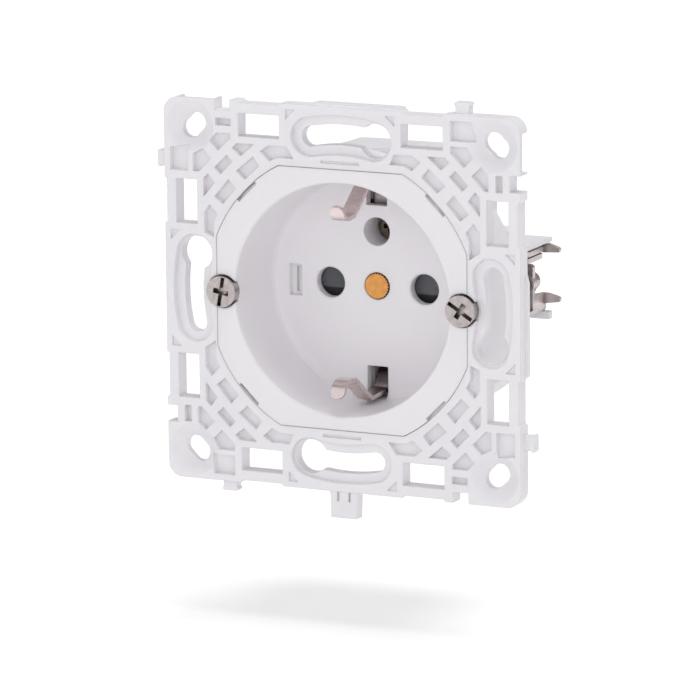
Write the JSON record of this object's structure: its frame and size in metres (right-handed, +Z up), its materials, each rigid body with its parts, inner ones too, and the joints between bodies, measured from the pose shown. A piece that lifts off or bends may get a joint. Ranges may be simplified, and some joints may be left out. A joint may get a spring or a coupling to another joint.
{
  "type": "type f wall socket",
  "caption": "Flush-mounted type F socket insert in a white square support frame, without cover plate, with claws.",
  "frame": {"origin": "centre of the support frame, in the plane of its back face, on the wall surface", "axes": "+X right and +Z up as seen from the room, +Y into the wall"},
  "size_m": [0.0752, 0.0388, 0.0781],
  "materials": {
    "frame_plastic": "white moulded thermoplastic, satin",
    "insert_plastic": "white moulded thermoplastic, satin",
    "housing_plastic": "white moulded thermoplastic, satin",
    "carrier_plastic": "off-white moulded thermoplastic, matt",
    "shutter_plastic": "dark grey moulded plastic, matt",
    "button_plastic": "orange moulded plastic, satin",
    "strap_metal": "tin-plated spring bronze, satin",
    "stud_brass": "knurled brass, plain",
    "screw_steel": "nickel-plated steel, satin",
    "claw_steel": "zinc-plated stamped steel, satin",
    "contact_brass": "stamped brass, plain",
    "spring_steel": "spring steel, bright"
  },
  "bodies": {
    "base": {"support_frame": "frame_plastic", "socket_insert": "insert_plastic", "rear_housing": "housing_plastic", "contact_carrier": "carrier_plastic", "shutter_spring": "spring_steel", "earth_strap": "strap_metal", "earth_terminal": "contact_brass", "centre_stud": "stud_brass", "assembly_screw": "screw_steel", "live_contact": "contact_brass", "neutral_contact": "contact_brass", "live_clamp_spring": "spring_steel", "neutral_clamp_spring": "spring_steel", "earth_clamp_spring": "spring_steel"},
    "shutter_body": {"shutter": "shutter_plastic"},
    "claw_screw_right_body": {"claw_screw_right": "screw_steel"},
    "claw_screw_left_body": {"claw_screw_left": "screw_steel"},
    "claw_right_body": {"claw_right": "claw_steel"},
    "claw_left_body": {"claw_left": "claw_steel"},
    "live_release_button_body": {"live_release_button": "button_plastic"},
    "neutral_release_button_body": {"neutral_release_button": "button_plastic"},
    "earth_release_button_body": {"earth_release_button": "button_plastic"}
  },
  "joints": [
    {"name": "shutter_slide", "type": "slide", "parent": "base", "child": "shutter_body", "axis": [0, 0, 1], "range_m": [0, 0.006], "stiffness_N_per_m": 60, "springref_m": -0.005, "deforming": ["shutter_spring"]},
    {"name": "claw_screw_turn_right", "type": "hinge", "parent": "base", "child": "claw_screw_right_body", "pos_m": [0.02395, -0.003, 0], "axis": [0, 1, 0], "range_deg": [0, 3242]},
    {"name": "claw_travel_right", "type": "slide", "parent": "base", "child": "claw_right_body", "axis": [0, -1, 0], "range_m": [0, 0.0054]},
    {"name": "claw_screw_turn_left", "type": "hinge", "parent": "base", "child": "claw_screw_left_body", "pos_m": [-0.02395, -0.003, 0], "axis": [0, 1, 0], "range_deg": [0, 3242]},
    {"name": "claw_travel_left", "type": "slide", "parent": "base", "child": "claw_left_body", "axis": [0, -1, 0], "range_m": [0, 0.0054]},
    {"name": "live_release_press", "type": "slide", "parent": "base", "child": "live_release_button_body", "axis": [0, -1, 0], "range_m": [0, 0.001], "stiffness_N_per_m": 400, "springref_m": -0.0015},
    {"name": "neutral_release_press", "type": "slide", "parent": "base", "child": "neutral_release_button_body", "axis": [0, -1, 0], "range_m": [0, 0.001], "stiffness_N_per_m": 400, "springref_m": -0.0015},
    {"name": "earth_release_press", "type": "slide", "parent": "base", "child": "earth_release_button_body", "axis": [0, -1, 0], "range_m": [0, 0.001], "stiffness_N_per_m": 400, "springref_m": -0.0015}
  ],
  "couplings": [
    {"joint": "claw_screw_turn_right", "follows": "claw_travel_right", "rad_per_m": 10472},
    {"joint": "claw_screw_turn_left", "follows": "claw_travel_left", "rad_per_m": 10472}
  ]
}
